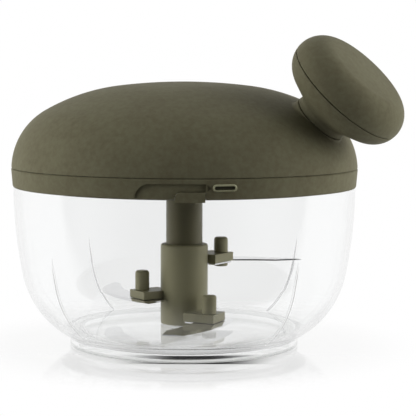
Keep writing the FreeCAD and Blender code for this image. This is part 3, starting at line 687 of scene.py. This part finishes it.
def stretched(mesh):
    # a round outline drawn out into a slot
    reach = mark["reach"]
    for vert in mesh.verts:
        vert.co.x += reach if vert.co.x > 0 else -reach
    for cut in range(1, mark["cuts"]):
        bmesh.ops.bisect_plane(mesh, geom=mesh.verts[:] + mesh.edges[:] + mesh.faces[:], dist=merge["cut"],
                               plane_co=(reach * (2 * cut / mark["cuts"] - 1), 0, 0), plane_no=(1, 0, 0))


def makeMarkPiece(name, mesh, stands, own):
    onRing(mesh, mark["ring"] + stands)
    piece(name, mesh, "olive_plastic", "lid", finish=mouldedPlastic(own + "Plastic", *olivePart[own]))


def makeMarkRim():
    mesh = bmesh.new()
    around = bmesh.ops.create_circle(mesh, segments=mark["tubeSegments"], radius=mark["tube"])["verts"]
    bmesh.ops.translate(mesh, vec=(mark["radius"], 0, 0), verts=around)
    bmesh.ops.rotate(mesh, cent=(0, 0, 0), matrix=Matrix.Rotation(radians(mark["firstTurn"]), 3, "Y"),
                     verts=around)
    bmesh.ops.spin(mesh, geom=mesh.verts[:] + mesh.edges[:], cent=(0, 0, 0), axis=(0, 1, 0), angle=2 * pi,
                   steps=mark["segments"], use_merge=True)
    stretched(mesh)
    # the rim's lighter colour is a painted highlight on the raised rim
    makeMarkPiece("markRimPaintedHighlight", mesh, mark["stands"], "rim")


def makeMarkPaintedShadeInlay():
    mesh = bmesh.new()
    bmesh.ops.create_circle(mesh, segments=mark["segments"], radius=mark["radius"], cap_ends=True)
    bmesh.ops.rotate(mesh, cent=(0, 0, 0), matrix=Matrix.Rotation(radians(90), 3, "X"), verts=mesh.verts)
    stretched(mesh)
    made = bmesh.ops.extrude_face_region(mesh, geom=mesh.faces[:])
    bmesh.ops.translate(mesh, vec=(0, mark["depth"], 0), verts=vertsIn(made["geom"]))
    # the dark piece inside the mark is painted shade
    makeMarkPiece("markPaintedShadeInlay", mesh, mark["paintedShadeInlay"], "paintedShadeInlay")


makeMarkRim()
makeMarkPaintedShadeInlay()
print("mark made")


# The floor clears to plain white between two distances, and mirrors the object nearer than that.
# It is dim from dimFrom to dimTo in front, and carries a painted shadow, dark in the umbra, which fades at
# its back and front.
stage = dict(reach=4.0, clearFrom=0.07, clearTo=0.108, mirror=0.55, polish=0.6, gloss=0.06, dimFrom=-0.05,
             dimTo=-0.1, dim=0.04, soak=0.3, umbra=(-0.023, -0.0275, -0.0485, -0.0498),
             umbraSide=(0.036, 0.007), umbraPlace=0.005, umbraColour=(0.03, 0.03, 0.03, 1.0), walls=3)


def makeFloor():
    mesh = bmesh.new()
    bmesh.ops.create_grid(mesh, x_segments=1, y_segments=1, size=stage["reach"])
    floor = placed("studioFloor", meshData("studioFloor", mesh))
    material, s = newMaterial("whiteFloor")
    spot = s.place()
    away = s.node("ShaderNodeVectorMath", {"operation": "LENGTH"}, {0: spot}, "Value")
    across = s.node("ShaderNodeSeparateXYZ", {}, {0: spot}, "X")
    forward = s.node("ShaderNodeSeparateXYZ", {}, {0: spot}, "Y")
    # the unlit front of the studio shows in the clear wall, not to the eye
    lit = forward.between(stage["dimTo"], stage["dimFrom"]) * (1 - stage["dim"]) + stage["dim"]
    seen = s.rayKind("Is Camera Ray").larger(s.straightThrough()).larger(lit)
    # a painted shadow under the front of the foot, seen through it
    back, darkFrom, darkTo, front = stage["umbra"]
    shade = (forward.between(back, darkFrom) * forward.between(front, darkTo)
             * (across - stage["umbraPlace"]).math("ABSOLUTE").between(*stage["umbraSide"])
             * s.rayKind("Transmission Depth").math("LESS_THAN", stage["walls"]))
    plain = s.node("ShaderNodeEmission", {}, {"Color": white, "Strength": seen})
    mirror = s.plastic({"Base Color": white, "Metallic": stage["polish"], "Roughness": stage["gloss"]})
    clearing = away.between(stage["clearFrom"], stage["clearTo"]) * stage["mirror"] + (1 - stage["mirror"])
    lightFloor = s.mixed(clearing * (1 - s.rayKind("Is Diffuse Ray") * stage["soak"]), mirror, plain)
    # the dark surface of the painted shadow
    dark = s.node("ShaderNodeBsdfDiffuse", {}, {"Color": stage["umbraColour"]})
    surface(s, s.mixed(shade, lightFloor, dark))
    floor.data.materials.append(material)


# The world is white, but dark about the direction front, from the angle opening to the angle closing.
world = dict(front=(0.131, -0.931, 0.34), opening=0.35, closing=1.35, dark=0.045, fill=0.42, seen=1.0)


def makeWorld():
    made = bpy.data.worlds.new("studio")
    scene.world = made
    made.use_nodes = True
    s = Shading(made.node_tree)
    towards = s.node("ShaderNodeTexCoord", output="Generated")
    frontness = s.node("ShaderNodeVectorMath", {"operation": "DOT_PRODUCT"}, {0: towards, 1: world["front"]},
                       "Value")
    off = frontness.math("ARCCOSINE").between(world["opening"], world["closing"])
    shown = s.rayKind("Is Glossy Ray").larger(s.rayKind("Is Transmission Ray"))
    level = shown * (world["seen"] - world["fill"]) + world["fill"]
    strength = (off * level + world["dark"]).larger(s.straightThrough())
    background = s.node("ShaderNodeBackground", {}, {
        "Color": white, "Strength": s.rayKind("Is Camera Ray").larger(strength)})
    s.node("ShaderNodeOutputWorld", {}, {"Surface": background})


lampAim = Vector((0, 0, 0.07))
lamps = dict(leftBox=dict(place=(-0.85, -0.12, 0.18), size=(0.8, 0.7), power=6.2),
             rightBox=dict(place=(0.85, -0.08, 0.18), size=(1.0, 0.8), power=7.3),
             topBox=dict(place=(0.0, 0.5, 1.0), size=(1.2, 0.7), power=0.4))


def makeLamp(name, place, size, power):
    lamp = bpy.data.lights.new(name, "AREA")
    lamp.shape, lamp.size, lamp.size_y, lamp.energy = "RECTANGLE", size[0], size[1], power
    made = placed(name, lamp)
    made.location = place
    made.visible_glossy = made.visible_transmission = False
    made.rotation_euler = (lampAim - Vector(place)).to_track_quat("-Z", "Y").to_euler()


# focal, frame and across are in pixels of the square picture
camera = dict(place=(0.0, -0.6865, 0.1219), pitch=5.15, roll=0.162, focal=1569.6, frame=416, across=184.37,
              sensor=36.0, near=0.01)


def makeCamera():
    data = bpy.data.cameras.new("camera")
    data.sensor_width = camera["sensor"]
    data.lens = camera["focal"] / camera["frame"] * data.sensor_width
    data.shift_x = 0.5 - camera["across"] / camera["frame"]
    data.clip_start = camera["near"]
    made = placed("camera", data)
    made.location = camera["place"]
    made.rotation_euler = (Matrix.Rotation(radians(90 - camera["pitch"]), 3, "X")
                           @ Matrix.Rotation(radians(camera["roll"]), 3, "Z")).to_euler()
    scene.camera = made


makeFloor()
makeWorld()
for lampName, lampValues in lamps.items():
    makeLamp(lampName, **lampValues)
makeCamera()
scene.view_settings.view_transform = "Standard"
print("stage made")
